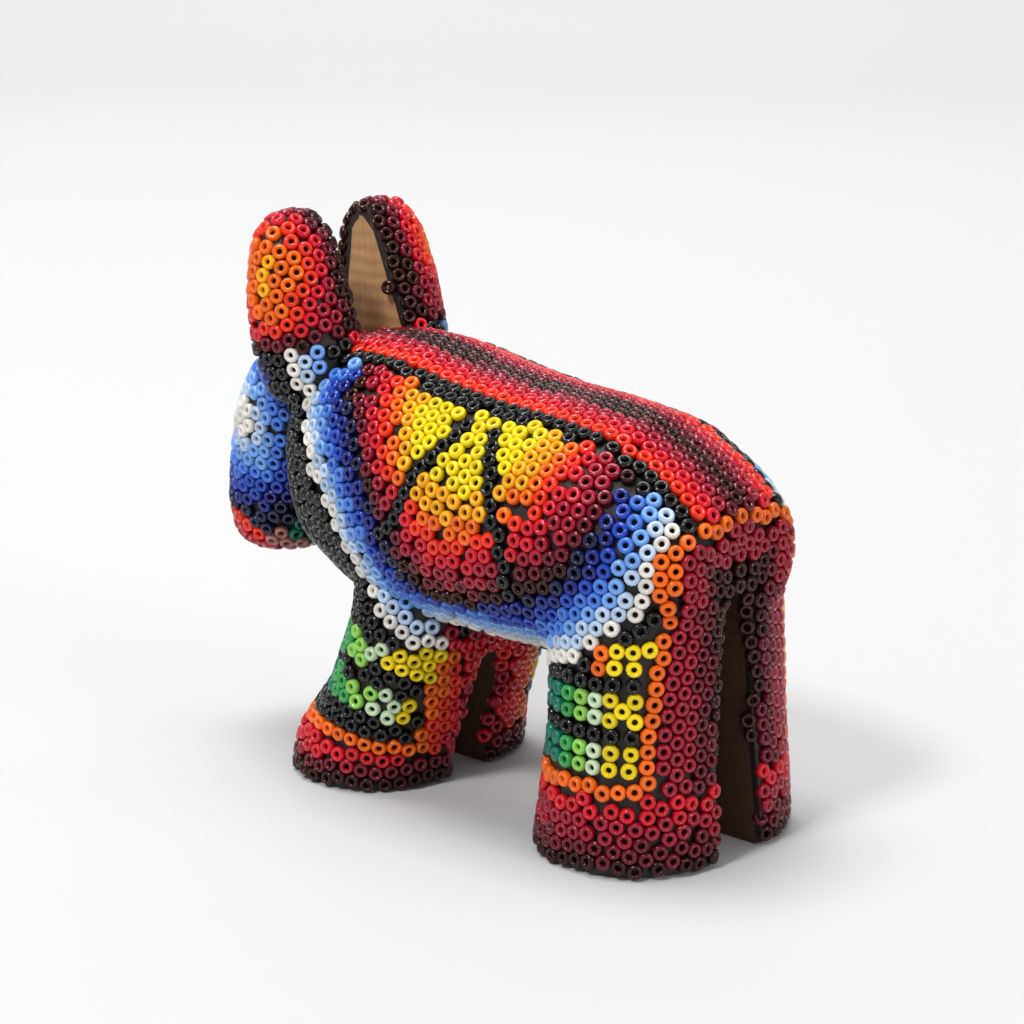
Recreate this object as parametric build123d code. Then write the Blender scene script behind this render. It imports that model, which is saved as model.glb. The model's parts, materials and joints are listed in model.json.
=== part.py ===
from build123d import *
import math
import os

os.makedirs("parts", exist_ok=True)

# A small donkey carved from one block of wood, coated with beeswax and covered with glass seed beads
# that are pressed into the wax in nested rows. Millimetres. +Z is up, the donkey faces -Y and its left
# side is +X. The hooves stand on Z = 0. The sections and outlines below are measured from a point
# between the legs, and save() moves every piece so that X = Y = 0 is the middle of the whole figure.

# ---- driving dimensions -------------------------------------------------------------------------
WAX = 0.9          # thickness of the beeswax between the wood and the bottom of the open bead holes
PROUD = 0.9        # how far the bead rows stand out of the wax
MIDDLE_Y = -7.195  # where the middle of the figure's length is, measured from the point between the legs
SOLE = 0.4         # bare wood left showing under the wax edge at each hoof
EAR_GAP = 9.2      # clear space between the two bare inner ear faces
CORNERS = 16       # knife-cut corners round each section

# Sections of the finished, beaded outside. Each row is one closed, slightly squared oval.
# torso: along Y, with its top, bottom, half width and squareness
TORSO = [
    (34.6, 41.8, 34.0, 7.0, 2.2),
    (33.2, 45.0, 28.0, 12.0, 2.3),
    (28.5, 48.8, 24.0, 15.0, 2.3),
    (21.0, 52.6, 22.3, 17.0, 2.3),
    (12.0, 53.8, 21.8, 17.8, 2.3),
    (3.0, 54.4, 21.8, 18.2, 2.3),
    (-6.0, 55.8, 21.8, 18.2, 2.3),
    (-14.0, 57.6, 21.8, 17.6, 2.3),
    (-21.0, 58.0, 23.3, 16.2, 2.3),
    (-28.0, 56.8, 26.0, 13.8, 2.2),
    (-34.0, 51.8, 31.0, 10.0, 2.1),
]
# limbs and head: going up in Z, with the middle in Y, half depth, half width, squareness, middle in X
REAR_LEGS = [
    (0.0, 23.3, 13.1, 18.1, 2.5, 0.0),
    (6.0, 23.6, 12.5, 17.6, 2.5, 0.0),
    (16.8, 23.9, 11.2, 16.9, 2.5, 0.0),
    (30.8, 23.4, 11.6, 16.4, 2.4, 0.0),
    (38.0, 22.9, 11.8, 15.2, 2.3, 0.0),
    (44.0, 21.5, 10.5, 12.0, 2.2, 0.0),
]
FRONT_LEGS = [
    (0.0, -20.6, 12.0, 17.5, 2.5, 0.0),
    (5.4, -19.7, 11.6, 17.0, 2.5, 0.0),
    (12.8, -15.6, 9.8, 16.2, 2.4, 0.0),
    (22.8, -11.9, 9.4, 15.8, 2.4, 0.0),
    (34.8, -12.5, 10.0, 13.0, 2.3, 0.0),
]
HEAD = [
    (25.4, -44.0, 3.6, 4.2, 2.1),
    (27.2, -43.6, 6.6, 6.8, 2.3),
    (32.0, -42.6, 8.1, 8.4, 2.4),
    (38.6, -40.6, 8.8, 9.4, 2.4),
    (45.0, -38.0, 9.8, 10.2, 2.4),
    (51.0, -35.4, 9.2, 10.0, 2.3),
    (55.6, -33.6, 5.5, 6.0, 2.2),
]
EAR = [
    (48.0, -29.5, 8.2, 7.5, 2.2, 5.5),
    (55.8, -30.6, 7.8, 7.3, 2.2, 7.4),
    (62.8, -31.9, 6.6, 6.9, 2.2, 8.0),
    (69.2, -32.8, 4.9, 6.1, 2.1, 7.9),
    (73.4, -33.2, 2.6, 4.7, 2.0, 7.7),
]


# ---- the carved form ----------------------------------------------------------------------------
def oval(plane, half_x, half_y, square):
    """One closed section as knife-cut corners: an oval drawn out towards its corners."""
    points = []
    for k in range(CORNERS):
        turn = 2 * math.pi * (k + 0.5) / CORNERS
        x = half_x * math.copysign(abs(math.cos(turn)) ** (2 / square), math.cos(turn))
        y = half_y * math.copysign(abs(math.sin(turn)) ** (2 / square), math.sin(turn))
        points.append(plane.from_local_coords((x, y, 0)))
    return points


def carve(rings):
    """A closed solid with flat knife-cut facets between rings of corners, capped at both ends."""
    faces = [Face(Wire.make_polygon(rings[0])), Face(Wire.make_polygon(rings[-1]))]
    for low, high in zip(rings, rings[1:]):
        for k in range(CORNERS):
            n = (k + 1) % CORNERS
            faces.append(Face(Wire.make_polygon([low[k], low[n], high[n]])))
            faces.append(Face(Wire.make_polygon([low[k], high[n], high[k]])))
    return Solid(Shell(faces))


def torso(inset):
    """The trunk from rump to lower neck, drawn in by inset on every side."""
    rings = []
    for k, (y, top, bottom, half_width, square) in enumerate(TORSO):
        if k == 0:
            y -= inset
        if k == len(TORSO) - 1:
            y += inset
        across = Plane(origin=(0, y, (top + bottom) / 2), x_dir=(1, 0, 0), z_dir=(0, -1, 0))
        rings.append(oval(across, half_width - inset, (top - bottom) / 2 - inset, square))
    return carve(rings)


def upright(rows, inset, stands):
    """A leg pair, the head or an ear, drawn in by inset; stands keeps its lowest section on the ground."""
    rings = []
    for k, row in enumerate(rows):
        z, y, half_depth, half_width, square = row[:5]
        middle = row[5] if len(row) > 5 else 0.0
        if k == 0 and not stands:
            z += inset
        if k == len(rows) - 1:
            z -= inset
        rings.append(oval(Plane(origin=(middle, y, z)), half_width - inset, half_depth - inset, square))
    return carve(rings)


def carved(inset):
    """The whole donkey in one solid, before the saw cuts."""
    half_gap = EAR_GAP / 2
    ear = upright(EAR, inset, False)
    ear = ear & Pos(half_gap + 30, -30, 60) * Box(60, 60, 60)
    whole = torso(inset) + upright(REAR_LEGS, inset, True) + upright(FRONT_LEGS, inset, True)
    return whole + upright(HEAD, inset, False) + ear + mirror(ear, Plane.YZ)


def saw_cuts():
    """The two saw cuts that part the left legs from the right ones, narrow at the top."""
    rear = make_face(Polyline((-4.4, -1), (4.8, -1), (3.0, 31.5), (0.2, 33.4), (-2.8, 31.5), close=True))
    front = make_face(Polyline((-4.2, -1), (4.2, -1), (3.0, 18.0), (0, 19.6), (-3.0, 18.0), close=True))
    rear_cut = Pos(0, 45, 0) * extrude(Plane.XZ * rear, 40)
    front_cut = Pos(0, 2, 0) * extrude(Plane.XZ * front, 45)
    return rear_cut + front_cut


# ---- the bead areas, drawn in side view as Y and Z ------------------------------------------------
LINE_IN = 7.4      # inner edge of the black line that runs along each side of the back
LINE_OUT = 9.4     # its outer edge
RIDGE = 1.3        # half width of the dark ridge line
BACK_DARK = 4.3    # half width of the maroon rows beside it
BORDER = 9.4       # width of the blue border round the sunburst
HOOF_ROWS = 9.6    # height of the red rows on a rear hoof
ROW = 2.1          # one row of beads
STRIPE = 4.6       # half width of the stripe down the face

PANEL = [
    (-20.5, 64), (-19.5, 55), (-17.5, 51), (-14.3, 46.5), (-10.6, 41), (-8, 36), (-5.5, 31.5),
    (-2.5, 28.8), (3, 28.2), (9, 29.8), (12.2, 31.2), (18, 33.6), (22.5, 37.5), (25.5, 43),
    (26.8, 48), (27.5, 64),
]
HEAD_SIDE = [(-60, 20), (-37.4, 20), (-36.4, 32), (-34.4, 44), (-31.4, 55), (-31.4, 64), (-60, 64)]
EAR_SIDE = [(-46, 55.2), (-31.4, 55.2), (-23.4, 56.8), (-20.5, 60), (-20.5, 80), (-46, 80)]
REAR_PIPING = [
    (30.3, HOOF_ROWS), (30.5, 22), (30.9, 29.5), (31.8, 36), (32.6, 40), (33.0, 43.2), (60, 43.2),
    (60, HOOF_ROWS),
]
REAR_FACE = [
    (32.4, HOOF_ROWS), (32.6, 22), (33, 29.5), (33.5, 35), (33.9, 38.5), (34.1, 41), (60, 41),
    (60, HOOF_ROWS),
]
FRONT_ROW = [(-40, 8.6), (-20, 6.8), (-6, 3.8), (-6, 5.9), (-20, 8.9), (-40, 10.7)]
FRONT_HOOF = [(-40, -5), (0, -5), (0, 2.5), (-6, 3.8), (-20, 6.8), (-40, 8.6)]
FRONT_BACK = [(-4.5, 22), (-5.4, 17), (-7.2, 11), (-9.0, 5.0), (-6, 3.8), (0, 2.5), (3, 22)]
FRONT_BLOCK_TOP = [(-30, 21.5), (-5, 16.2), (-5, 20.2), (-30, 25.5)]
FRONT_BLOCK_LOW = [(-34, 15.3), (-5, 9.1), (-5, 13.1), (-34, 19.3)]


def area(points):
    """A flat area in side view."""
    return make_face(Polyline(*points, close=True))


def oblong(y0, y1, z0, z1):
    """A rectangle in side view."""
    return area([(y0, z0), (y1, z0), (y1, z1), (y0, z1)])


def ellipse_at(y, z, half_y, half_z):
    """An oval area in side view, with flat stretches one bead long."""
    turns = [2 * math.pi * (k + 0.5) / CORNERS for k in range(CORNERS)]
    return area([(y + half_y * math.cos(t), z + half_z * math.sin(t)) for t in turns])


def strip(points, width):
    """A line of beads in side view, as wide as one bead."""
    pieces = []
    for (y0, z0), (y1, z1) in zip(points, points[1:]):
        length = math.hypot(y1 - y0, z1 - z0)
        turn = math.degrees(math.atan2(z1 - z0, y1 - y0))
        middle = ((y0 + y1) / 2, (z0 + z1) / 2)
        pieces.append(Pos(*middle) * Rot(0, 0, turn) * Rectangle(length + width * 0.8, width))
    whole = pieces[0]
    for piece in pieces[1:]:
        whole = whole + piece
    return whole


def taken(coat, flat, x0, x1):
    """The part of the bead coat that lies under a side-view area between two distances from the middle."""
    block = Pos(x0, 0, 0) * extrude(Plane.YZ * flat, x1 - x0)
    return coat & block


def sides(coat, flat, x0, x1):
    """The same part of the coat on the left and on the right."""
    return taken(coat, flat, x0, x1), taken(coat, flat, -x1, -x0)


def solids_of(shape):
    """The solids of a shape, without slivers thinner than a bead."""
    if isinstance(shape, (list, ShapeList, tuple)):
        return [s for one in shape for s in solids_of(one)]
    return [s for s in shape.solids() if s.volume > 3.0]


def save(name, *shapes):
    """Writes one node, as one solid or as a group of solids."""
    solids = [Pos(0, -MIDDLE_Y, 0) * s for shape in shapes for s in solids_of(shape)]
    whole = solids[0] if len(solids) == 1 else Compound(children=solids)
    whole.label = name
    export_step(whole, f"parts/{name}.step")
    print(name, len(solids), round(sum(s.volume for s in solids), 1), flush=True)


def sunburst(panel):
    """The radiating panel on a flank: yellow, orange, red and maroon beads, parted by two black lines."""
    sun_y, sun_z = 3.5, 56
    front_line = [(1.6, 50.4), (0.1, 48.4), (-1.8, 45.9), (-3.7, 42.6), (-5.7, 39.1), (-8.2, 35.8)]
    rear_line = [(6.3, 50.4), (7.6, 47.7), (9.6, 42.9), (10.9, 40.1), (12, 36), (12.4, 30)]
    lines = strip(front_line, 1.9) + strip(rear_line, 1.9)
    petals = panel - lines
    yellow = ellipse_at(sun_y, sun_z, 11.5, 14)
    orange = ellipse_at(sun_y, sun_z, 14.2, 17)
    red = ellipse_at(sun_y, sun_z, 18.5, 22)
    return {
        "sunburst_lines": lines & panel,
        "sunburst_yellow": petals & yellow,
        "sunburst_orange": petals & (orange - yellow),
        "sunburst_red": petals & (red - orange),
        "sunburst_maroon": petals - red,
    }


def border(panel):
    """The four rings round the sunburst, from navy outwards to white."""
    rings = {}
    inner = panel
    for k, name in enumerate(["border_navy", "border_royal", "border_light", "border_white"]):
        outer = offset(panel, BORDER / 4 * (k + 1), kind=Kind.INTERSECTION)
        rings[name] = outer - inner
        inner = outer
    return rings, inner


def flank_nodes(outside, panel):
    """Saves the sunburst and its border on each side, and returns the area they take."""
    rings, taken_area = border(panel)
    flats = {**sunburst(panel), **rings}
    other = area(HEAD_SIDE) + area(EAR_SIDE) + area(REAR_PIPING) + oblong(-60, 60, -5, HOOF_ROWS)
    for name, flat in flats.items():
        flat = flat - other
        for side, coat in outside.items():
            save(f"{name}_{side}", taken(coat, flat, -60, 60))
    return taken_area


def rear_nodes(halves):
    """Saves the rear faces of the rear legs and the orange bead line round them."""
    face = area(REAR_FACE)
    pipe = area(REAR_PIPING) - face
    pipe = pipe + oblong(4, 31.0, HOOF_ROWS, HOOF_ROWS + ROW)
    dark, red = [], []
    for side, coat in halves.items():
        sign = 1 if side == "left" else -1
        save(f"rear_piping_{side}", taken(coat, pipe, -60, 60))
        arch = oblong(20, 60, HOOF_ROWS, 36.8)
        inner = taken(coat, face & arch, min(0, sign * 7.4), max(0, sign * 7.4))
        outer = taken(coat, face & arch, min(sign * 7.4, sign * 40), max(sign * 7.4, sign * 40))
        dark.append(inner)
        red.append(outer)
        red.append(taken(coat, face - arch, -60, 60))
    save("rear_face_maroon", *dark)
    save("rear_face_red", *red)


def front_leg_nodes(halves, upper):
    """Saves the bead areas of the front legs."""
    row = area(FRONT_ROW)
    back = area(FRONT_BACK)
    pipe = strip([(-5.6, 18.6), (-6.6, 14), (-8.4, 9.4), (-9.6, 6.2)], ROW) - row
    blocks = area(FRONT_BLOCK_TOP) + area(FRONT_BLOCK_LOW) - pipe - upper
    leg = oblong(-40, 1, 2, 26)
    faces = []
    for side, coat in halves.items():
        save(f"front_piping_{side}", taken(coat, row + pipe, -60, 60))
        save(f"front_blocks_{side}", taken(coat, blocks - row - back, -60, 60))
        span = (LINE_OUT, 60) if side == "left" else (-60, -LINE_OUT)
        inner = taken(coat, back - pipe - row, -LINE_OUT, LINE_OUT)
        faces.append(inner + taken(coat, back - pipe - row - upper, *span))
    save("front_leg_backs", *faces)
    return leg & (row + pipe + back + blocks)


def hoof_nodes(coat):
    """Saves the red rows and the dark lowest rows of the four hooves."""
    low = oblong(-60, 60, -5, 3.6)
    rear = oblong(1, 60, -5, HOOF_ROWS) - low
    front = area(FRONT_HOOF) - low
    save("rear_hooves_red", taken(coat, rear, -60, 60))
    save("front_hooves_red", taken(coat, front, -60, 60))
    save("hooves_dark", taken(coat, low, -60, 60))


def ear_nodes(halves):
    """Saves each ear: a yellow spot, a red field and a dark rim along the bare inner face."""
    whole = area(EAR_SIDE)
    spot = ellipse_at(-32.0, 65.0, 2.6, 4.2)
    rims = []
    for side, coat in halves.items():
        sign = 1 if side == "left" else -1
        ear = taken(coat, whole, min(0, sign * 40), max(0, sign * 40))
        ear = ear - Pos(-STRIPE, 0, 0) * extrude(Plane.YZ * area(HEAD_SIDE), 2 * STRIPE)
        rim_end = EAR_GAP / 2 + ROW
        rims.append(ear & Pos(0, -30, 70) * Box(2 * rim_end, 60, 60))
        field = ear & Pos(sign * (rim_end + 20), -30, 70) * Box(40, 60, 60)
        save(f"ear_spot_{side}", taken(field, spot, min(0, sign * 40), max(0, sign * 40)))
        save(f"ear_field_{side}", taken(field, whole - spot, min(0, sign * 40), max(0, sign * 40)))
    save("ear_rims", *rims)


def head_nodes(coat):
    """Saves the head: blue cheeks round a white eye spot, a dark face stripe, a red muzzle and the throat."""
    whole = area(HEAD_SIDE)
    head = taken(coat, whole, -40, 40)
    eye = ellipse_at(-42.0, 44.5, 2.9, 2.9)
    muzzle = area([(-60, 20), (-41.0, 20), (-41.0, 29), (-60, 36)])
    throat = area([(-41.0, 20), (-30, 20), (-30, 34), (-41.0, 29)])
    upper = whole - muzzle - throat
    for side, sign in (("left", 1), ("right", -1)):
        span = (STRIPE, 40) if sign > 0 else (-40, -STRIPE)
        save(f"eye_{side}", taken(head, eye, *span))
        save(f"cheek_{side}", taken(head, upper - eye - area(EAR_SIDE), *span))
    save("face_stripe", taken(head, upper, -STRIPE, STRIPE))
    save("muzzle", taken(head, whole & muzzle, -40, 40))
    save("throat", taken(head, whole & throat, -40, 40))


def back_nodes(middle):
    """Saves the rows that run along the back, and the black line on each side of them."""
    top = oblong(-31.4, 60, 41.6, 64) - area(REAR_PIPING) - area(EAR_SIDE)
    whole = taken(middle, top, -40, 40)
    full = oblong(-60, 60, 0, 90)
    save("back_ridge", taken(whole, full, -RIDGE, RIDGE))
    save("back_maroon", taken(whole, full, RIDGE, BACK_DARK), taken(whole, full, -BACK_DARK, -RIDGE))
    save("back_red", taken(whole, full, BACK_DARK, LINE_IN), taken(whole, full, -LINE_IN, -BACK_DARK))
    save("back_line_left", taken(whole, full, LINE_IN, 40))
    save("back_line_right", taken(whole, full, -40, -LINE_IN))
    return top


def ground_nodes(outside, middle, flank, front, back):
    """Saves the black beads between the patterns, and the leg blocks set into them."""
    shown = area(HEAD_SIDE) + area(EAR_SIDE) + area(REAR_PIPING) + front
    shown = shown + oblong(1, 60, -5, HOOF_ROWS + ROW) + area(FRONT_HOOF)
    blocks = oblong(4, 31, 18.6, 22.8) + oblong(4, 31, 12.4, 16.6) + oblong(25.6, 31, 24.8, 29.0)
    blocks = blocks - flank - area(REAR_PIPING)
    thigh = oblong(3, 60, 5, 45) - flank - shown - blocks
    neck = oblong(-45, -8, 5, 62) - flank - shown
    for side, coat in outside.items():
        save(f"rear_blocks_{side}", taken(coat, blocks, -60, 60))
        save(f"thigh_ground_{side}", taken(coat, thigh, -60, 60))
        save(f"neck_ground_{side}", taken(coat, neck, -60, 60))
    chest = oblong(-45, -17, 5, 60) - shown - back
    belly = oblong(-17, 14, 5, 41.6) - shown
    inner = oblong(14, 60, 5, 41.6) - shown
    save("chest_ground", taken(middle, chest, -60, 60))
    save("belly_ground", taken(middle, belly, -60, 60))
    save("inner_thigh_ground", taken(middle, inner, -60, 60))


def build():
    """Makes the wood, the wax and every bead area."""
    cuts = saw_cuts()
    waxed = carved(PROUD)
    wood = carved(PROUD + WAX)
    save("wood_core", wood - cuts)
    above_sole = Pos(0, 0, SOLE + 60) * Box(120, 160, 120)
    save("wax_coat", (waxed - wood - cuts) & above_sole)
    coat = (carved(0) - waxed - cuts) & above_sole
    halves = {
        "left": coat & Pos(30, 0, 40) * Box(60, 160, 120),
        "right": coat & Pos(-30, 0, 40) * Box(60, 160, 120),
    }
    outside = {
        "left": coat & Pos(30 + LINE_OUT, 0, 40) * Box(60, 160, 120),
        "right": coat & Pos(-30 - LINE_OUT, 0, 40) * Box(60, 160, 120),
    }
    middle = coat & Pos(0, 0, 40) * Box(2 * LINE_OUT, 160, 120)
    flank = flank_nodes(outside, area(PANEL))
    rear_nodes(halves)
    front = front_leg_nodes(halves, flank)
    hoof_nodes(coat)
    ear_nodes(halves)
    head_nodes(coat)
    back = back_nodes(middle)
    ground_nodes(outside, middle, flank, front, back)


build()
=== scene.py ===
import heapq
import json
import math
import random

import bpy
import numpy as np
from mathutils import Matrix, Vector
from mathutils.bvhtree import BVHTree


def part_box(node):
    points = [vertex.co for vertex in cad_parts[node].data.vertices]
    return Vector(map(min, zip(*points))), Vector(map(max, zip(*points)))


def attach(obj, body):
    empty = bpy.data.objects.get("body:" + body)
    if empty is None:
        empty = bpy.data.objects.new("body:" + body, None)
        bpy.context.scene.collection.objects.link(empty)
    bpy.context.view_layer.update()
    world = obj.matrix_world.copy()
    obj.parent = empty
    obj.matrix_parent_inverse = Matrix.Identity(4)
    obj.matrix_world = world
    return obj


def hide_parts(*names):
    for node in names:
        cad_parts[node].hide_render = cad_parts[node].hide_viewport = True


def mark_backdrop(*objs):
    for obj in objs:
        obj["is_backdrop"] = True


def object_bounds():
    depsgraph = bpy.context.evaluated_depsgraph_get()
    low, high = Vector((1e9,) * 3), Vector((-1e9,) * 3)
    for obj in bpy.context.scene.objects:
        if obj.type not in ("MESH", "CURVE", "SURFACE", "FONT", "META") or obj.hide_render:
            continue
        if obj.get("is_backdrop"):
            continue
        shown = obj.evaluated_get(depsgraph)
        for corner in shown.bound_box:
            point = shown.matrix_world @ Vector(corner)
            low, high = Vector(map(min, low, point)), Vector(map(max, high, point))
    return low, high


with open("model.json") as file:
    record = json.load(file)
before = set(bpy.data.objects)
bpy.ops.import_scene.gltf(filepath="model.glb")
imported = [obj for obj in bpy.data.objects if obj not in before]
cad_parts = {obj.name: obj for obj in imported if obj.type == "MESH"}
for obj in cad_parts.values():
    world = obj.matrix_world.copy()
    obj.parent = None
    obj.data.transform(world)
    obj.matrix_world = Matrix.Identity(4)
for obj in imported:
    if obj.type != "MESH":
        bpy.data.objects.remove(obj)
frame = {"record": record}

bl_info = {
    "name": "Beaded Donkey",
    "version": (1, 0, 0),
    "blender": (4, 5, 0),
    "location": "3D View > Sidebar > Beaded Donkey",
    "description": "Lays glass seed beads in rows on the waxed, carved donkey",
    "category": "Object",
}

MM = 0.001
NODES = [part["node"] for part in frame["record"]["subparts"]]
BEAD_NODES = [n for n in NODES if n not in ("wood_core", "wax_coat")]
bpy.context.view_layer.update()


# ---- settings -----------------------------------------------------------------------------------
def size(name, description, default, low, high):
    """A length that the user may change."""
    return bpy.props.FloatProperty(
        name=name, description=description, default=default, min=low, max=high, unit="LENGTH", precision=5
    )


def glass(name, description, rgb):
    """A bead colour that the user may change."""
    return bpy.props.FloatVectorProperty(
        name=name, description=description, default=rgb, size=3, min=0, max=1, subtype="COLOR"
    )


def power(name, description, default):
    """A lamp's power in watts."""
    return bpy.props.FloatProperty(name=name, description=description, default=default, min=0, max=500)


class BeadSettings(bpy.types.PropertyGroup):
    """Sizes of the beads and how they sit in the wax."""

    width: size("Width", "Outer width of a bead", 2.08 * MM, 1 * MM, 4 * MM)
    height: size("Height", "Height of a bead along its hole", 1.42 * MM, 0.5 * MM, 4 * MM)
    hole: size("Hole", "Width of the hole through a bead", 0.64 * MM, 0.2 * MM, 2 * MM)
    pitch: size("Pitch", "Distance between neighbouring beads in a row", 1.93 * MM, 1 * MM, 4 * MM)
    stand: size("Stand", "Height of a bead's middle over the carved wood", 1.15 * MM, 0.2 * MM, 3 * MM)
    spread: bpy.props.FloatProperty(
        name="Size spread", description="How much the beads differ in size", default=0.035, min=0, max=0.2
    )
    tilt: bpy.props.FloatProperty(
        name="Tilt", description="How far a bead leans off the surface", default=math.radians(5), min=0,
        max=math.radians(30), subtype="ANGLE"
    )


class GlassSettings(bpy.types.PropertyGroup):
    """Colours of the glass."""

    yellow: glass("Yellow", "Middle of the sunburst", (0.92, 0.70, 0.001))
    golden: glass("Golden", "Edge of the yellow", (0.95, 0.42, 0.001))
    orange: glass("Orange", "Piping and the ring round the yellow", (0.95, 0.15, 0.001))
    flame: glass("Flame", "Red-orange", (0.88, 0.028, 0.004))
    red: glass("Red", "Bright red", (0.66, 0.004, 0.018))
    crimson: glass("Crimson", "Deep red", (0.36, 0.002, 0.022))
    maroon: glass("Maroon", "Dark red-brown", (0.15, 0.003, 0.015))
    hematite: glass("Hematite", "Dark lustred brown", (0.05, 0.012, 0.009))
    black: glass("Black", "Ground and outlines", (0.003, 0.003, 0.003))
    ink: glass("Ink", "Darkest blue", (0.006, 0.008, 0.05))
    navy: glass("Navy", "Dark blue", (0.006, 0.014, 0.20))
    royal: glass("Royal", "Strong blue", (0.012, 0.055, 0.45))
    sky: glass("Sky", "Mid blue", (0.06, 0.20, 0.72))
    light_blue: glass("Light blue", "Light blue", (0.18, 0.40, 0.86))
    pale_blue: glass("Pale blue", "Nearly white blue", (0.52, 0.66, 0.86))
    white: glass("White", "Warm white", (0.86, 0.82, 0.75))
    teal: glass("Teal", "Dark green-blue", (0.004, 0.18, 0.12))
    green: glass("Green", "Leaf green", (0.04, 0.36, 0.08))
    lime: glass("Lime", "Light green", (0.30, 0.68, 0.10))
    mint: glass("Mint", "Nearly white green", (0.62, 0.80, 0.52))
    pink: glass("Pink", "Brown-pink", (0.42, 0.17, 0.15))


class StageSettings(bpy.types.PropertyGroup):
    """The camera and the lamps."""

    azimuth: bpy.props.FloatProperty(
        name="Azimuth", description="Camera direction round the donkey, from its tail to its left",
        default=math.radians(48), subtype="ANGLE"
    )
    pitch: bpy.props.FloatProperty(
        name="Pitch", description="How far the camera looks down", default=math.radians(14.5), subtype="ANGLE"
    )
    distance: size("Distance", "From the camera to the donkey's middle", 353.2 * MM, 0.1, 2)
    lens: bpy.props.FloatProperty(
        name="Lens", description="Focal length in millimetres", default=96.68, min=20, max=300
    )
    top_power: power("Top", "Power of the large lamp overhead", 30)
    wall_power: power("Wall", "Power of the lamp that lights only the wall", 13)
    key_power: power("Key", "Power of the small lamp over the camera", 5.2)
    side_power: power("Side", "Power of the lamp beside the tail", 1.6)
    world_light: bpy.props.FloatProperty(
        name="World", description="Light from all round", default=0.45, min=0, max=5
    )


# ---- meshes and nodes ---------------------------------------------------------------------------
class Tree:
    """Adds nodes to a node tree. A socket is named, or numbered as i0, i1, and takes a value or a link."""

    def __init__(self, tree):
        self.tree = tree

    def node(self, kind, settings=None, **sockets):
        made = self.tree.nodes.new(kind)
        for key, value in (settings or {}).items():
            setattr(made, key, value)
        for key, value in sockets.items():
            numbered = key[0] == "i" and key[1:].isdigit()
            self.put(made.inputs[int(key[1:]) if numbered else key.replace("_", " ")], value)
        return made

    def put(self, socket, value):
        if isinstance(value, Sock):
            value = value.socket
        if isinstance(value, bpy.types.NodeSocket):
            self.tree.links.new(value, socket)
        else:
            socket.default_value = value


class Sock:
    """A value socket that arithmetic can be written with."""

    def __init__(self, tree, socket):
        self.t = tree
        self.socket = socket

    def math(self, operation, a, b):
        made = self.t.node("ShaderNodeMath", {"operation": operation}, i0=a, i1=b)
        return Sock(self.t, made.outputs[0])

    def __add__(self, other):
        return self.math("ADD", self, other)

    __radd__ = __add__

    def __sub__(self, other):
        return self.math("SUBTRACT", self, other)

    def __mul__(self, other):
        return self.math("MULTIPLY", self, other)

    __rmul__ = __mul__


def cad_triangles(node):
    """A CAD node's corners and triangles."""
    mesh = bpy.data.objects[node].data
    mesh.calc_loop_triangles()
    return [v.co.copy() for v in mesh.vertices], [tuple(t.vertices) for t in mesh.loop_triangles]


class Areas:
    """Finds which bead area a place belongs to, and how far another area is."""

    def __init__(self):
        corners, faces, self.owner = [], [], []
        self.own = {}
        for node in BEAD_NODES:
            points, triangles = cad_triangles(node)
            self.own[node] = (points, triangles)
            start = len(corners)
            corners += points
            faces += [(a + start, b + start, c + start) for a, b, c in triangles]
            self.owner += [node] * len(triangles)
        self.all = BVHTree.FromPolygons(corners, faces)
        self.sets = {}

    def at(self, place, reach):
        """The bead area within reach of a place, or None."""
        hit = self.all.find_nearest(place, reach)
        return self.owner[hit[2]] if hit[0] is not None else None

    def beside(self, place, reach):
        """The same with a longer reach, and a place on a single row belongs to the area beside it."""
        found = self.at(place, 1.6 * reach)
        return found if found not in SINGLE_ROWS else self.nearest_wide(place)

    def nearest_wide(self, place):
        """The nearest area that is more than one row wide."""
        wide = [n for n in BEAD_NODES if n not in SINGLE_ROWS and not n.endswith("_right")]
        return min(wide, key=lambda n: self.tree((n,)).find_nearest(place)[3])

    def tree(self, names):
        """One search tree over several areas."""
        if names not in self.sets:
            corners, faces = [], []
            for name in names:
                points, triangles = self.own[name]
                start = len(corners)
                corners += points
                faces += [(a + start, b + start, c + start) for a, b, c in triangles]
            self.sets[names] = BVHTree.FromPolygons(corners, faces)
        return self.sets[names]

    def away(self, place, *names):
        """How far the nearest of the named areas is."""
        return self.tree(tuple(names)).find_nearest(place)[3]


def bead_bed(stand):
    """The smooth surface that the bead middles lie on, as corners with normals and a search tree."""
    mesh = bpy.data.objects["wood_core"].data.copy()
    bed = bpy.data.objects.new("bed", mesh)
    bpy.context.scene.collection.objects.link(bed)
    remesh = bed.modifiers.new("even", "REMESH")
    remesh.mode = "VOXEL"
    remesh.voxel_size = 0.75 * MM
    smooth = bed.modifiers.new("smooth", "SMOOTH")
    smooth.factor = 0.5
    smooth.iterations = 9
    swell = bed.modifiers.new("swell", "DISPLACE")
    swell.mid_level = 0
    swell.strength = stand + 0.12 * MM
    soften = bed.modifiers.new("soften", "SMOOTH")
    soften.factor = 0.5
    soften.iterations = 3
    graph = bpy.context.evaluated_depsgraph_get()
    even = bpy.data.meshes.new_from_object(bed.evaluated_get(graph))
    bpy.data.objects.remove(bed)
    even.calc_loop_triangles()
    corners = [v.co.copy() for v in even.vertices]
    tree = BVHTree.FromPolygons(corners, [tuple(t.vertices) for t in even.loop_triangles])
    bpy.data.meshes.remove(even)
    return corners, tree


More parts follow.
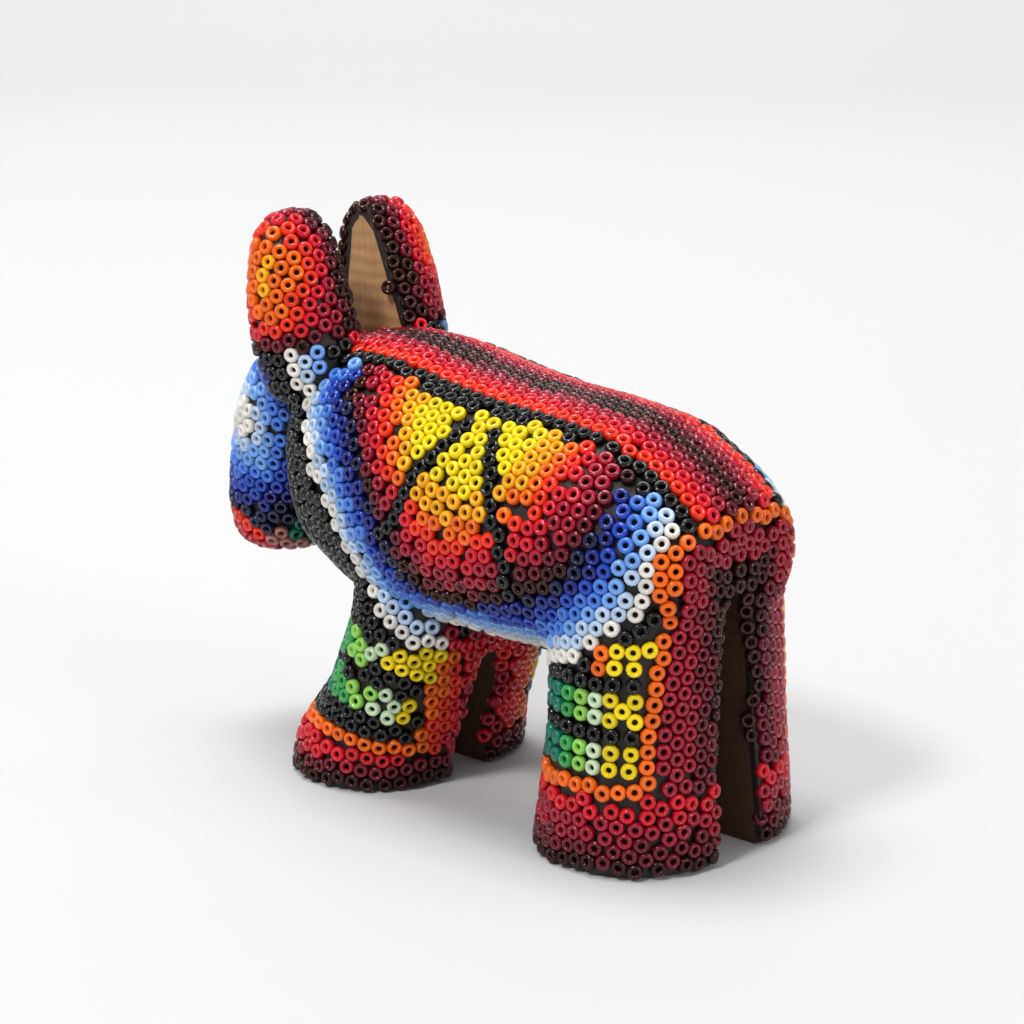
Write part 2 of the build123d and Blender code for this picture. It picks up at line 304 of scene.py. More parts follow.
# ---- laying the beads ---------------------------------------------------------------------------
class Layout:
    """Lays beads on the left half, row by row, and mirrors them. Rows follow the edge they start from."""

    EDGE = 0.85 * MM    # how far a bead's middle may be from its area
    NEST = 1.1          # how many rows early a place between two beads is taken
    ROUND = 20          # places tried all round a bead
    HALF = 0.47         # least distance from the middle plane to a bead beside it, in pitches
    PUSH = 0.45         # share of an overlap that one bead gives way by in a round of relax()
    BARE = -0.75        # a surface that turns further than this to the middle plane is a bare saw cut
    FLOOR = 1.12 * MM   # lowest bead middle
    MIDDLE = 0.50 * MM  # beads nearer than this to the middle plane are set on it

    def __init__(self, pitch, stand):
        self.pitch = pitch
        self.areas = Areas()
        corners, self.bed = bead_bed(stand)
        self.cells = {}
        self.beads = []
        self.samples = {}
        for corner in corners:
            if corner.x < 0 or corner.z < self.FLOOR:
                continue
            area = self.areas.at(corner, self.EDGE)
            if area:
                self.samples.setdefault(area, []).append(corner)

    def cell(self, place):
        return tuple(int(math.floor(c / self.pitch)) for c in place)

    def near(self, place, reach):
        """The beads already laid within reach of a place."""
        x, y, z = self.cell(place)
        found = []
        for i in (x - 1, x, x + 1):
            for j in (y - 1, y, y + 1):
                for k in (z - 1, z, z + 1):
                    for bead in self.cells.get((i, j, k), ()):
                        if (bead[0] - place).length < reach:
                            found.append(bead)
        return found

    def settle(self, place):
        """Drops a place onto the bed, and onto the middle plane if it is near it."""
        spot, normal, _, _ = self.bed.find_nearest(place)
        if spot is None:
            return None
        if abs(spot.x) < self.MIDDLE:
            spot = Vector((0, spot.y, spot.z))
            normal = Vector((0, normal.y, normal.z)).normalized()
        elif spot.x < self.HALF * self.pitch:
            return None
        if spot.z < self.FLOOR or (spot.x > 0 and normal.x < self.BARE):
            return None
        return spot, normal

    def lay(self, spot, normal, area):
        bead = (spot, normal, area)
        self.beads.append(bead)
        self.cells.setdefault(self.cell(spot), []).append(bead)
        return bead

    def around(self, bead):
        """Places that touch a bead, with how many rows early each is taken."""
        spot, normal, _ = bead
        side = normal.orthogonal().normalized()
        other = normal.cross(side)
        places = []
        for near in self.near(spot, 1.95 * self.pitch):
            gap = near[0] - spot
            length = gap.length
            if length < 1e-6:
                continue
            rise = math.sqrt(max(self.pitch ** 2 - length ** 2 / 4, 0))
            across = normal.cross(gap).normalized()
            places.append((spot + gap / 2 + across * rise, self.NEST))
            places.append((spot + gap / 2 - across * rise, self.NEST))
        for k in range(self.ROUND):
            turn = 2 * math.pi * k / self.ROUND
            places.append((spot + (side * math.cos(turn) + other * math.sin(turn)) * self.pitch, 0))
        return places

    def fill(self, wanted, field, least=0.42, centred=False, tight=0.955, find=None):
        """Fills the wanted areas, in their given order, with rows in the order of a field of distances."""
        find = find or self.areas.at
        least *= self.pitch
        clear = tight * self.pitch

        def rank(spot):
            value = field(spot)
            if value < least:
                return None
            return -value if centred else value

        ranked = []
        for area in wanted:
            for corner in self.samples.get(area, ()):
                value = rank(corner)
                if value is not None:
                    ranked.append((value, len(ranked), corner))
        ranked.sort()
        for _, _, corner in ranked:
            if self.near(corner, clear * 0.93):
                continue
            settled = self.settle(corner)
            if not settled or self.near(settled[0], clear):
                continue
            heap = [(0.0, 0, settled[0], settled[1])]
            count = 0
            while heap:
                _, _, spot, normal = heapq.heappop(heap)
                if self.near(spot, clear):
                    continue
                area = find(spot, self.EDGE)
                if area not in wanted:
                    continue
                bead = self.lay(spot, normal, area)
                for place, bonus in self.around(bead):
                    if self.near(place, clear * 0.93):
                        continue
                    settled = self.settle(place)
                    if not settled or self.near(settled[0], clear):
                        continue
                    if find(settled[0], self.EDGE) not in wanted:
                        continue
                    value = rank(settled[0])
                    if value is not None:
                        count += 1
                        heapq.heappush(heap, (value - bonus * self.pitch, count, settled[0], settled[1]))

    def relax(self, rounds=10):
        """Pushes beads that are too close apart, along the bed, and evens out the gaps."""
        for _ in range(rounds):
            moved = []
            for spot, normal, area in self.beads:
                push = Vector((0, 0, 0))
                for near, _, _ in self.near(spot, self.pitch):
                    gap = spot - near
                    if gap.length > 1e-7:
                        push += gap.normalized() * (self.pitch - gap.length) * self.PUSH
                place = spot + push
                landed, facing, _, _ = self.bed.find_nearest(place)
                if spot.x == 0:
                    landed, facing = Vector((0, landed.y, landed.z)), Vector((0, facing.y, facing.z)).normalized()
                elif landed.x < self.HALF * self.pitch or landed.z < self.FLOOR:
                    landed, facing = spot, normal
                moved.append((landed, facing, area))
            self.beads = moved
            self.cells = {}
            for bead in moved:
                self.cells.setdefault(self.cell(bead[0]), []).append(bead)

    def square(self, wanted, rear, heights, step):
        """Fills areas on a leg with level rows whose beads stand above each other, from their rear end on."""
        corners = [c for area in wanted for c in self.samples.get(area, ())]
        for height in heights:
            row = [c for c in corners if abs(c.z - height) < step / 3]
            for column in range(8):
                target = rear - (0.5 + column) * step
                close = [c for c in row if abs(c.y - target) < step / 3]
                if not close:
                    continue
                corner = min(close, key=lambda c: (c.y - target) ** 2 + (c.z - height) ** 2)
                settled = self.settle(Vector((corner.x, target, height)))
                if settled and not self.near(settled[0], 0.9 * self.pitch):
                    area = self.areas.at(settled[0], self.EDGE)
                    if area in wanted:
                        self.lay(settled[0], settled[1], area)


# ---- colours of the rows ------------------------------------------------------------------------
def plain(area):
    """The area's name without its side."""
    return area.replace("_left", "").replace("_right", "")


def stepped(value, *steps):
    """The colour of the first step that a distance in millimetres is under."""
    for limit, colour in steps:
        if value < limit:
            return colour
    return steps[-1][1]


def along(area, place):
    """How far a place is from the front to the back of an area, from 0 to 1."""
    low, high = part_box(area)
    return (place.y - low[1]) / (high[1] - low[1])


class Colours:
    """Chooses each bead's colour from its area and from how far the next area is."""

    def __init__(self, areas):
        self.areas = areas

    def mm(self, place, *names):
        return self.areas.away(place, *names) / MM

    def of(self, area, place):
        return getattr(self, plain(area), lambda p: "black")(place)

    def sunburst_yellow(self, p):
        return stepped(self.mm(p, "sunburst_orange_left"), (1.0, "golden"), (99, "yellow"))

    def ray(self, p):
        """Colours from the yellow middle out to the dark edge, by the share of the way."""
        inner = self.mm(p, "sunburst_yellow_left")
        outer = self.mm(p, "border_navy_left")
        return stepped(
            inner / (inner + outer + 0.01),
            (0.16, "golden"), (0.31, "orange"), (0.46, "flame"), (0.61, "red"), (0.76, "crimson"),
            (0.88, "maroon"), (1.01, "hematite"),
        )

    sunburst_orange = sunburst_red = sunburst_maroon = ray

    def sunburst_lines(self, p):
        return "black"

    def border(self, p):
        """Colours from the white outer edge in to dark blue."""
        ground = self.mm(
            p, "neck_ground_left", "thigh_ground_left", "belly_ground", "chest_ground", "front_blocks_left",
            "rear_blocks_left", "rear_piping_left", "front_piping_left", "cheek_left", "ear_rims",
        )
        return stepped(
            ground, (1.9, "white"), (3.3, "pale_blue"), (4.7, "light_blue"), (6.0, "sky"), (7.2, "royal"),
            (8.6, "navy"), (99, "ink"),
        )

    border_navy = border_royal = border_light = border_white = border

    def back_ridge(self, p):
        return "hematite"

    def back_maroon(self, p):
        return stepped(p.x / MM, (1.0, "hematite"), (2.9, "maroon"), (99, "crimson"))

    def back_red(self, p):
        return stepped(p.x / MM, (4.6, "crimson"), (6.4, "red"), (99, "flame"))

    def rear_piping(self, p):
        return "orange"

    def front_piping(self, p):
        return stepped(
            self.mm(p, "front_blocks_left", "neck_ground_left"),
            (2.3, "orange"), (4.2, "flame"), (6.2, "red"), (99, "crimson"),
        )

    def rear_face_red(self, p):
        return stepped(self.mm(p, "rear_piping_left"), (3.2, "crimson"), (99, "maroon"))

    def rear_face_maroon(self, p):
        return stepped(p.x / MM, (4.9, "hematite"), (99, "maroon"))

    def front_leg_backs(self, p):
        return stepped(self.mm(p, "front_piping_left"), (2.4, "red"), (4.4, "crimson"), (99, "maroon"))

    def rear_hooves_red(self, p):
        return stepped(p.z / MM, (4.6, "maroon"), (7.2, "crimson"), (99, "red"))

    def front_hooves_red(self, p):
        return stepped(p.z / MM, (4.0, "crimson"), (99, "red"))

    def hooves_dark(self, p):
        return stepped(p.z / MM, (2.0, "hematite"), (99, "maroon"))

    def rear_blocks(self, p):
        column = (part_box("rear_blocks_left")[1].y - p.y) / MM
        if p.z > 24.0 * MM:
            return "yellow" if column < 4.3 else "orange"
        return stepped(column, (4.2, "yellow"), (6.3, "mint"), (8.4, "lime"), (10.4, "green"), (99, "teal"))

    def front_blocks(self, p):
        share = along("front_blocks_left", p)
        return stepped(share, (0.25, "teal"), (0.45, "green"), (0.62, "lime"), (0.74, "mint"), (99, "yellow"))

    def ear_spot(self, p):
        return stepped(self.mm(p, "ear_field_left"), (1.5, "orange"), (99, "golden"))

    def ear_field(self, p):
        below = ("border_light_left", "border_white_left", "cheek_left", "neck_ground_left", "back_red")
        base = self.mm(p, *below)
        if base < 1.0:
            return "hematite"
        if base < 2.4:
            return "maroon"
        spot = self.mm(p, "ear_spot_left")
        if spot > 3.2 and self.mm(p, "ear_rims") < 1.0:
            return "maroon"
        return stepped(spot, (1.7, "orange"), (3.2, "flame"), (5.4, "red"), (99, "crimson"))

    def ear_rims(self, p):
        return "hematite"

    def eye(self, p):
        return "white"

    def cheek(self, p):
        return stepped(
            self.mm(p, "eye_left"),
            (1.6, "pale_blue"), (3.6, "light_blue"), (5.6, "sky"), (7.6, "royal"), (9.6, "navy"), (99, "ink"),
        )

    def muzzle(self, p):
        return stepped(self.mm(p, "cheek_left"), (1.6, "flame"), (3.8, "red"), (99, "crimson"))

    def throat(self, p):
        return stepped(self.mm(p, "muzzle"), (3.0, "pink"), (5.0, "teal"), (7.0, "green"), (99, "lime"))


LUSTRED = {"hematite": 0.5, "maroon": 0.15, "ink": 0.1}
SINGLE_ROWS = ("rear_piping_left", "front_piping_left", "sunburst_lines_left", "back_line_left", "back_ridge")


# ---- materials ----------------------------------------------------------------------------------
def new_material(name):
    """An empty node material and its tree, with a shader and an output."""
    material = bpy.data.materials.new(name)
    material.use_nodes = True
    material.node_tree.nodes.clear()
    tree = Tree(material.node_tree)
    shader = tree.node("ShaderNodeBsdfPrincipled")
    output = tree.node("ShaderNodeOutputMaterial")
    tree.put(output.inputs["Surface"], shader.outputs[0])
    return material, tree, shader


def noise(tree, scale, detail=3.0, stretch=(1, 1, 1)):
    """Noise over the object's own coordinates, in lumps per metre."""
    place = tree.node("ShaderNodeTexCoord").outputs["Object"]
    mapped = tree.node("ShaderNodeMapping", Vector=place, Scale=stretch)
    made = tree.node("ShaderNodeTexNoise", Vector=mapped.outputs[0], Scale=scale, Detail=detail)
    return Sock(tree, made.outputs["Fac"])


def mixed(tree, factor, a, b, blend="MIX"):
    """Two colours mixed by a factor."""
    made = tree.node("ShaderNodeMix", {"data_type": "RGBA", "blend_type": blend})
    tree.put(made.inputs[0], factor)
    tree.put(made.inputs[6], a)
    tree.put(made.inputs[7], b)
    return made.outputs[2]


def bead_glass():
    """Glossy opaque glass, each bead a little different, with faint streaks."""
    material, tree, shader = new_material("bead_glass")
    colour = tree.node("ShaderNodeAttribute", {"attribute_name": "bead_colour"}).outputs["Color"]
    own = Sock(tree, tree.node("ShaderNodeAttribute", {"attribute_name": "bead_own"}).outputs["Fac"])
    lustre = Sock(tree, tree.node("ShaderNodeAttribute", {"attribute_name": "bead_lustre"}).outputs["Fac"])
    streak = noise(tree, 900, 2.0, (1, 1, 3))
    darker = mixed(tree, own * 0.22 + streak * 0.12, colour, (0.0, 0.0, 0.0, 1), "MIX")
    tree.put(shader.inputs["Base Color"], darker)
    tree.put(shader.inputs["Roughness"], 0.05 + streak * 0.09 + own * 0.04)
    tree.put(shader.inputs["Metallic"], lustre)
    shader.inputs["IOR"].default_value = 1.5
    return material


def beeswax():
    """Dark wax, softly uneven, seen between the beads."""
    material, tree, shader = new_material("beeswax")
    lumps = noise(tree, 350, 4.0)
    dark, brown = (0.004, 0.003, 0.003, 1), (0.014, 0.008, 0.005, 1)
    tree.put(shader.inputs["Base Color"], mixed(tree, lumps, dark, brown))
    tree.put(shader.inputs["Roughness"], 0.42 + lumps * 0.25)
    bump = tree.node("ShaderNodeBump", Strength=0.4, Distance=0.0003)
    tree.put(bump.inputs["Height"], lumps)
    tree.put(shader.inputs["Normal"], bump.outputs[0])
    return material


def sawn_wood():
    """Bare softwood: grain along the body, saw marks across it, and painted shade that turns it dark brown low
    down in the leg cuts.
    """
    material, tree, shader = new_material("sawn_wood")
    grain = noise(tree, 420, 5.0, (1, 1, 0.14))
    fibres = noise(tree, 1900, 3.0, (1, 1, 0.12))
    place = tree.node("ShaderNodeTexCoord").outputs["Object"]
    height = tree.node("ShaderNodeSeparateXYZ", Vector=place).outputs["Z"]
    # painted shade: from 56 mm down to 36 mm the wood turns to dark brown, standing in for the shadow in the leg
    # cuts
    low = tree.node("ShaderNodeMapRange", Value=height)
    for key, value in (("From Min", 0.036), ("From Max", 0.056), ("To Min", 1.0), ("To Max", 0.0)):
        low.inputs[key].default_value = value
    saw = tree.node("ShaderNodeTexWave", {"bands_direction": "Z"}, Vector=place, Scale=170, Distortion=2.5)
    tan = mixed(tree, grain, (0.42, 0.21, 0.085, 1), (0.66, 0.39, 0.18, 1))
    tan = mixed(tree, fibres * 0.5, tan, (0.26, 0.13, 0.055, 1))
    # brown is the colour of the painted shade low down in the leg cuts
    brown = mixed(tree, grain, (0.045, 0.018, 0.007, 1), (0.11, 0.045, 0.016, 1))
    tree.put(shader.inputs["Base Color"], mixed(tree, low.outputs[0], tan, brown))
    tree.put(shader.inputs["Roughness"], 0.62 + fibres * 0.22)
    bump = tree.node("ShaderNodeBump", Strength=0.5, Distance=0.00025)
    tree.put(bump.inputs["Height"], fibres + Sock(tree, saw.outputs["Fac"]) * 0.5)
    tree.put(shader.inputs["Normal"], bump.outputs[0])
    return material


def pale_floor():
    """Plain matt floor."""
    material, tree, shader = new_material("pale_floor")
    cloud = noise(tree, 3, 2.0)
    low, high = (0.54, 0.54, 0.54, 1), (0.56, 0.56, 0.56, 1)
    tree.put(shader.inputs["Base Color"], mixed(tree, cloud, low, high))
    shader.inputs["Roughness"].default_value = 0.6
    shader.inputs["Specular IOR Level"].default_value = 0.2
    return material


MADE = {}


def material(maker):
    """Each material is made once."""
    if maker.__name__ not in MADE:
        MADE[maker.__name__] = maker()
    return MADE[maker.__name__]


# ---- one bead, and the tree that repeats it -----------------------------------------------------
def bead_mesh(width, height, hole):
    """One seed bead: a rounded ring, standing on Z."""
    inner, outer, half = hole / 2, width / 2, height / 2
    middle = (inner + outer) / 2
    profile = [
        (inner, 0.25 * half),
        (inner + 0.22 * (outer - inner), 0.88 * half),
        (middle + 0.10 * (outer - inner), half),
        (outer - 0.10 * (outer - inner), 0.62 * half),
        (outer, -0.05 * half),
        (middle, -0.95 * half),
    ]
    sides = 12
    corners, faces = [], []
    for k in range(sides):
        turn = 2 * math.pi * k / sides
        corners += [(r * math.cos(turn), r * math.sin(turn), z) for r, z in profile]
    count = len(profile)
    for k in range(sides):
        n = (k + 1) % sides
        for j in range(count):
            m = (j + 1) % count
            faces.append((k * count + j, k * count + m, n * count + m, n * count + j))
    mesh = bpy.data.meshes.new("seed_bead")
    mesh.from_pydata(corners, [], faces)
    mesh.shade_smooth()
    return mesh


def bead_tree():
    """Repeats a bead on every point, turned and sized by the point's own values."""
    group = bpy.data.node_groups.new("bead_rows", "GeometryNodeTree")
    side = group.interface
    side.new_socket("Geometry", in_out="INPUT", socket_type="NodeSocketGeometry")
    side.new_socket("Bead", in_out="INPUT", socket_type="NodeSocketObject")
    side.new_socket("Bead size", in_out="INPUT", socket_type="NodeSocketFloat")
    side.new_socket("Size spread", in_out="INPUT", socket_type="NodeSocketFloat")
    side.new_socket("Glass", in_out="INPUT", socket_type="NodeSocketMaterial")
    side.new_socket("Geometry", in_out="OUTPUT", socket_type="NodeSocketGeometry")
    tree = Tree(group)
    given = tree.node("NodeGroupInput").outputs
    turn = tree.node("GeometryNodeInputNamedAttribute", {"data_type": "FLOAT_VECTOR"}, Name="bead_turn")
    turned = tree.node("FunctionNodeEulerToRotation", i0=turn.outputs[0])
    spread = tree.node("FunctionNodeRandomValue", {"data_type": "FLOAT"}, Seed=7)
    low = Sock(tree, given["Bead size"]) - Sock(tree, given["Size spread"])
    high = Sock(tree, given["Bead size"]) + Sock(tree, given["Size spread"])
    tree.put(spread.inputs[2], low)
    tree.put(spread.inputs[3], high)
    points = tree.node("GeometryNodeMeshToPoints", Mesh=given["Geometry"])
    shape = tree.node("GeometryNodeObjectInfo", Object=given["Bead"])
    laid = tree.node("GeometryNodeInstanceOnPoints", Points=points.outputs[0])
    tree.put(laid.inputs["Instance"], shape.outputs["Geometry"])
    tree.put(laid.inputs["Rotation"], turned.outputs[0])
    tree.put(laid.inputs["Scale"], spread.outputs[1])
    real = tree.node("GeometryNodeRealizeInstances", Geometry=laid.outputs[0])
    done = tree.node("GeometryNodeSetMaterial", Geometry=real.outputs[0], Material=given["Glass"])
    tree.node("NodeGroupOutput", Geometry=done.outputs[0])
    return group


def socket_id(group, name):
    """The identifier of a named input."""
    for item in group.interface.items_tree:
        if item.item_type == "SOCKET" and item.in_out == "INPUT" and item.name == name:
            return item.identifier
    raise KeyError(name)


def lean(normal, dice, tilt):
    """The turn that stands a bead on the surface, leaning a little, and spun by chance."""
    leaning = normal + Vector((dice.gauss(0, tilt), dice.gauss(0, tilt), dice.gauss(0, tilt))) * 0.6
    turn = leaning.normalized().to_track_quat("Z", "Y").to_euler()
    return tuple(turn)


class BeadWork:
    """Everything the bead operators share: the layout, the bead shape and the tree."""

    shared = None

    def __init__(self, scene):
        beads = scene.donkey_beads
        self.settings = beads
        self.glass = scene.donkey_glass
        self.layout = Layout(beads.pitch, beads.stand)
        self.colours = Colours(self.layout.areas)
        self.bead = bpy.data.objects.new("seed_bead", bead_mesh(beads.width, beads.height, beads.hole))
        self.tree = bead_tree()
        self.dice = random.Random(11)
        self.by_area = {}

    @classmethod
    def get(cls, scene):
        if cls.shared is None:
            cls.shared = cls(scene)
        return cls.shared

    def mirror(self):
        """Colours every laid bead and sets it down by area, on both sides."""
        for spot, normal, area in self.layout.beads:
            colour = self.colours.of(area, spot)
            self.store(area, spot, normal, colour)
            if spot.x > 0:
                other = area.replace("_left", "_right")
                facing = Vector((-normal.x, normal.y, normal.z))
                self.store(other, Vector((-spot.x, spot.y, spot.z)), facing, colour)

    def store(self, area, spot, normal, colour):
        self.by_area.setdefault(area, []).append((spot, normal, colour))

    def finish_piece(self, area):
        """Turns the laid points of one area into a plain mesh of beads that stands for its CAD node."""
        rows = self.by_area.get(area)
        if not rows:
            raise RuntimeError(f"no beads were laid on {area}")
        mesh = bpy.data.meshes.new("beads_" + area)
        mesh.from_pydata([tuple(r[0]) for r in rows], [], [])
        values = {
            "bead_turn": ("FLOAT_VECTOR", "vector", [lean(r[1], self.dice, self.settings.tilt) for r in rows]),
            "bead_colour": ("FLOAT_COLOR", "color", [(*getattr(self.glass, r[2]), 1) for r in rows]),
            "bead_own": ("FLOAT", "value", [self.dice.random() for _ in rows]),
            "bead_lustre": ("FLOAT", "value", [LUSTRED.get(r[2], 0.0) for r in rows]),
        }
        for name, (kind, field, numbers) in values.items():
            mesh.attributes.new(name, kind, "POINT").data.foreach_set(field, np.array(numbers, "f").ravel())
        piece = bpy.data.objects.new("beads_" + area, mesh)
        bpy.context.scene.collection.objects.link(piece)
        modifier = piece.modifiers.new("rows", "NODES")
        modifier.node_group = self.tree
        modifier[socket_id(self.tree, "Bead")] = self.bead
        modifier[socket_id(self.tree, "Bead size")] = 1.0
        modifier[socket_id(self.tree, "Size spread")] = self.settings.spread
        modifier[socket_id(self.tree, "Glass")] = material(bead_glass)
        graph = bpy.context.evaluated_depsgraph_get()
        beads = bpy.data.meshes.new_from_object(piece.evaluated_get(graph))
        piece.modifiers.clear()
        piece.data = beads
        bpy.data.meshes.remove(mesh)
        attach(piece, "root")
        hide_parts(area)
        return piece


# ---- operators ----------------------------------------------------------------------------------
class DONKEY_OT_wood(bpy.types.Operator):
    """Gives the carved wood its bare, sawn finish"""

    bl_idname = "donkey.wood"
    bl_label = "Wood"

    def execute(self, context):
        core = bpy.data.objects["wood_core"]
        core.data.materials.clear()
        core.data.materials.append(material(sawn_wood))
        return {"FINISHED"}


class DONKEY_OT_wax(bpy.types.Operator):
    """Gives the wax its dark, uneven finish"""

    bl_idname = "donkey.wax"
    bl_label = "Wax"

    def execute(self, context):
        coat = bpy.data.objects["wax_coat"]
        coat.data.materials.clear()
        coat.data.materials.append(material(beeswax))
        return {"FINISHED"}


class DONKEY_OT_outline_beads(bpy.types.Operator):
    """Lays the single lines first: the rows of the back, the piping and the lines on the sunburst"""

    bl_idname = "donkey.outline_beads"
    bl_label = "Outline beads"

    def execute(self, context):
        work = BeadWork.get(context.scene)
        lay = work.layout
        away = lay.areas.away
        lay.fill(["back_ridge", "back_maroon", "back_red", "back_line_left"], lambda p: abs(p.x), least=-1)
        sun = ("sunburst_yellow_left", "sunburst_orange_left", "sunburst_red_left", "sunburst_maroon_left")
        beside = ("rear_face_red", "rear_face_maroon", "rear_hooves_red", "thigh_ground_left",
                  "rear_blocks_left", "back_red", "back_line_left", "back_maroon", "back_ridge")
        lay.fill(["rear_piping_left"], lambda p: away(p, *beside), least=0.3, centred=True)
        beside = ("front_leg_backs", "front_hooves_red", "front_blocks_left", "neck_ground_left")
        lay.fill(["front_piping_left"], lambda p: away(p, *beside), least=0.3, centred=True)
        lay.fill(["sunburst_lines_left"], lambda p: away(p, *sun), least=0.3, centred=True, tight=0.93)
        return {"FINISHED"}


class DONKEY_OT_flank_beads(bpy.types.Operator):
    """Lays the blue border from its white edge inwards, then the sunburst"""

    bl_idname = "donkey.flank_beads"
    bl_label = "Flank beads"

    def execute(self, context):
        work = BeadWork.get(context.scene)
        lay = work.layout
        away = lay.areas.away
        outside = ("neck_ground_left", "thigh_ground_left", "front_blocks_left", "rear_blocks_left",
                   "belly_ground", "chest_ground", "rear_piping_left", "front_piping_left")
        rings = ["border_white_left", "border_light_left", "border_royal_left", "border_navy_left"]
        lay.fill(rings, lambda p: away(p, *outside), least=0.4)
        edges = ("border_navy_left", "back_line_left")
        suns = ["sunburst_yellow_left", "sunburst_orange_left", "sunburst_red_left", "sunburst_maroon_left"]
        lay.fill(suns, lambda p: away(p, *edges), least=0.2)
        return {"FINISHED"}


class DONKEY_OT_leg_beads(bpy.types.Operator):
    """Lays the legs: the blocks, the black ground, the rear faces and the hooves"""

    bl_idname = "donkey.leg_beads"
    bl_label = "Leg beads"

    def execute(self, context):
        work = BeadWork.get(context.scene)
        lay = work.layout
        away = lay.areas.away
        low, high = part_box("rear_blocks_left")
        step = (high.z - low.z) / 8
        heights = [low.z + (0.5 + k) * step for k in range(8)]
        lay.square(["rear_blocks_left", "thigh_ground_left"], high.y, heights, step)
        lay.fill(["rear_face_red", "rear_face_maroon"], lambda p: away(p, "rear_piping_left"), least=0.3)
        lay.fill(["rear_hooves_red", "front_hooves_red", "hooves_dark"], lambda p: p.z, least=0)
        lay.fill(["front_blocks_left", "neck_ground_left"], lambda p: away(p, "front_piping_left"), least=0.3)
        lay.fill(["front_leg_backs"], lambda p: away(p, "front_piping_left"), least=0.3)
        lay.fill(["thigh_ground_left", "rear_blocks_left"], lambda p: away(p, "rear_piping_left"), least=0.3)
        return {"FINISHED"}


class DONKEY_OT_head_beads(bpy.types.Operator):
    """Lays the ears from their rims inwards, and the head in rings round each eye spot"""

    bl_idname = "donkey.head_beads"
    bl_label = "Head beads"

    def execute(self, context):
        work = BeadWork.get(context.scene)
        lay = work.layout
        away = lay.areas.away
        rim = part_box("ear_field_left")[0][0] - lay.pitch
        lay.fill(["ear_rims", "ear_field_left", "ear_spot_left"], lambda p: p.x - rim, least=0.1)
        lay.fill(["eye_left"], lambda p: away(p, "cheek_left"), least=0.2, centred=True)
        lay.fill(["cheek_left"], lambda p: away(p, "eye_left"), least=0.3)
        lay.fill(["face_stripe"], lambda p: abs(p.x), least=-1)
        lay.fill(["muzzle", "throat"], lambda p: away(p, "cheek_left"), least=0.2)
        return {"FINISHED"}


class DONKEY_OT_ground_beads(bpy.types.Operator):
    """Lays the black ground between the patterns, and under the belly"""

    bl_idname = "donkey.ground_beads"
    bl_label = "Ground beads"

    def execute(self, context):
        work = BeadWork.get(context.scene)
        lay = work.layout
        away = lay.areas.away
        ground = ["neck_ground_left", "chest_ground", "belly_ground", "inner_thigh_ground"]
        lay.fill(ground, lambda p: away(p, "border_white_left"), least=0.2)
        left = [n for n in BEAD_NODES if not n.endswith("_right")]
        for tight in (0.94, 0.86, 0.80):
            lay.fill(left, lambda p: 0.0, least=-1, tight=tight, find=lay.areas.beside)
            lay.relax()
        work.mirror()
        for area in BEAD_NODES:
            work.finish_piece(area)
        bpy.data.objects.remove(work.bead)
        return {"FINISHED"}


def lamp(name, place, aim, width, power):
    """A soft square lamp aimed at a point."""
    data = bpy.data.lights.new(name, "AREA")
    data.size = width
    data.energy = power
    made = bpy.data.objects.new(name, data)
    made.location = place
    made.rotation_euler = (Vector(place) - Vector(aim)).to_track_quat("Z", "Y").to_euler()
    bpy.context.scene.collection.objects.link(made)
    return made


def sweep(middle, away, right):
    """A floor that curves up into a wall behind the donkey."""
    profile = [(-2.5, 0), (0.9, 0)]
    for k in range(1, 13):
        turn = k * math.pi / 24
        profile.append((0.9 + 0.6 * math.sin(turn), 0.6 - 0.6 * math.cos(turn)))
    profile.append((1.5, 2.5))
    corners = []
    for along_view, height in profile:
        for across in (-3, 3):
            place = middle + away * along_view + right * across
            corners.append((place.x, place.y, height))
    faces = [(2 * k, 2 * k + 1, 2 * k + 3, 2 * k + 2) for k in range(len(profile) - 1)]
    mesh = bpy.data.meshes.new("floor")
    mesh.from_pydata(corners, [], faces)
    mesh.shade_smooth()
    mesh.materials.append(material(pale_floor))
    made = bpy.data.objects.new("floor", mesh)
    bpy.context.scene.collection.objects.link(made)
    return made


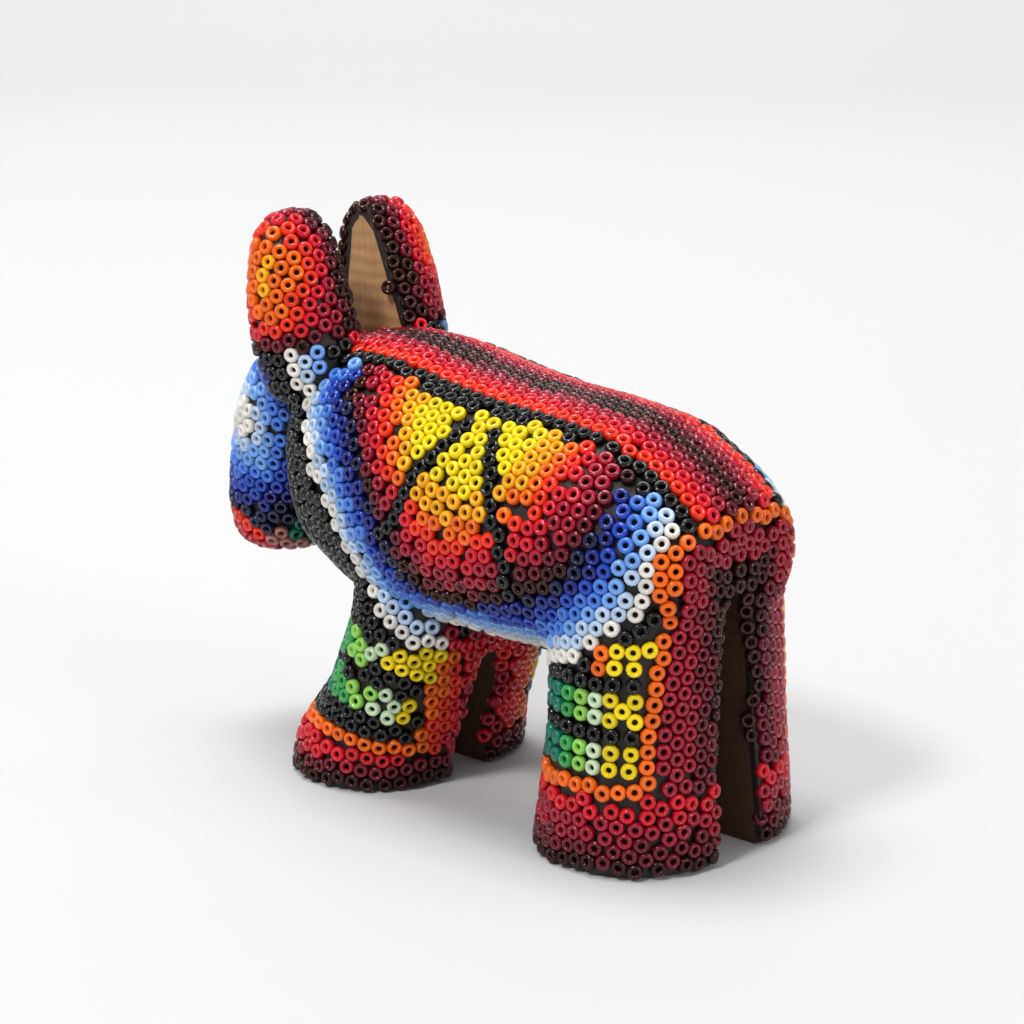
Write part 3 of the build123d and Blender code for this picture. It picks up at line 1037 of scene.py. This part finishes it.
class DONKEY_OT_stage(bpy.types.Operator):
    """Sets the floor, the lamps and the camera"""

    bl_idname = "donkey.stage"
    bl_label = "Stage"

    def execute(self, context):
        scene = context.scene
        put = scene.donkey_stage
        low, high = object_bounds()
        middle = Vector([(a + b) / 2 for a, b in zip(low, high)])
        turn, pitch = put.azimuth, put.pitch
        back = Vector((math.sin(turn) * math.cos(pitch), math.cos(turn) * math.cos(pitch), math.sin(pitch)))
        right = Vector((-math.cos(turn), math.sin(turn), 0))
        aim = middle + right * 3.94 * MM - back.cross(right) * 0.9 * MM
        data = bpy.data.cameras.new("camera")
        data.lens = put.lens
        data.sensor_width = 36
        data.clip_start = 0.01
        eye = bpy.data.objects.new("camera", data)
        eye.location = aim + back * put.distance
        eye.rotation_euler = back.to_track_quat("Z", "Y").to_euler()
        scene.collection.objects.link(eye)
        scene.camera = eye
        away = Vector((-back.x, -back.y, 0)).normalized()
        up = Vector((0, 0, 1))
        floor = sweep(middle, away, right)
        lamps = [
            lamp("top", middle + up * 2.1 + away * 0.3 - right * 0.3, middle, 0.9, put.top_power),
            lamp("wall", middle + up * 1.3 + away * 0.4, middle + away * 2.2 + up * 0.2, 1.2, put.wall_power),
            lamp("key", middle - away * 0.45 - right * 0.40 + up * 0.75, middle, 0.16, put.key_power),
            lamp("side", middle - away * 0.55 + right * 0.60 + up * 0.35, middle, 0.25, put.side_power),
        ]
        world = bpy.data.worlds.new("studio")
        world.use_nodes = True
        shade = world.node_tree.nodes["Background"]
        shade.inputs[0].default_value = (0.92, 0.93, 0.94, 1)
        shade.inputs[1].default_value = put.world_light
        scene.world = world
        scene.view_settings.view_transform = "Standard"
        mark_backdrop(floor, *lamps)
        return {"FINISHED"}


class DONKEY_PT_panel(bpy.types.Panel):
    """Lists the steps in the order they are run"""

    bl_label = "Beaded Donkey"
    bl_idname = "DONKEY_PT_panel"
    bl_space_type = "VIEW_3D"
    bl_region_type = "UI"
    bl_category = "Beaded Donkey"

    def draw(self, context):
        for step in STEPS:
            self.layout.operator(step.bl_idname)
        for settings in (context.scene.donkey_beads, context.scene.donkey_glass, context.scene.donkey_stage):
            for name in settings.__annotations__:
                self.layout.prop(settings, name)


STEPS = [
    DONKEY_OT_wood, DONKEY_OT_wax, DONKEY_OT_outline_beads, DONKEY_OT_flank_beads, DONKEY_OT_leg_beads,
    DONKEY_OT_head_beads, DONKEY_OT_ground_beads, DONKEY_OT_stage,
]
GROUPS = {"donkey_beads": BeadSettings, "donkey_glass": GlassSettings, "donkey_stage": StageSettings}


def register():
    for group in GROUPS.values():
        bpy.utils.register_class(group)
    for step in STEPS:
        bpy.utils.register_class(step)
    bpy.utils.register_class(DONKEY_PT_panel)
    for name, group in GROUPS.items():
        setattr(bpy.types.Scene, name, bpy.props.PointerProperty(type=group))


def unregister():
    for name in GROUPS:
        delattr(bpy.types.Scene, name)
    for made in [DONKEY_PT_panel, *STEPS, *GROUPS.values()]:
        bpy.utils.unregister_class(made)


def main():
    register()
    for step in STEPS:
        area, name = step.bl_idname.split(".")
        getattr(getattr(bpy.ops, area), name)()


if __name__ == "__main__":
    main()
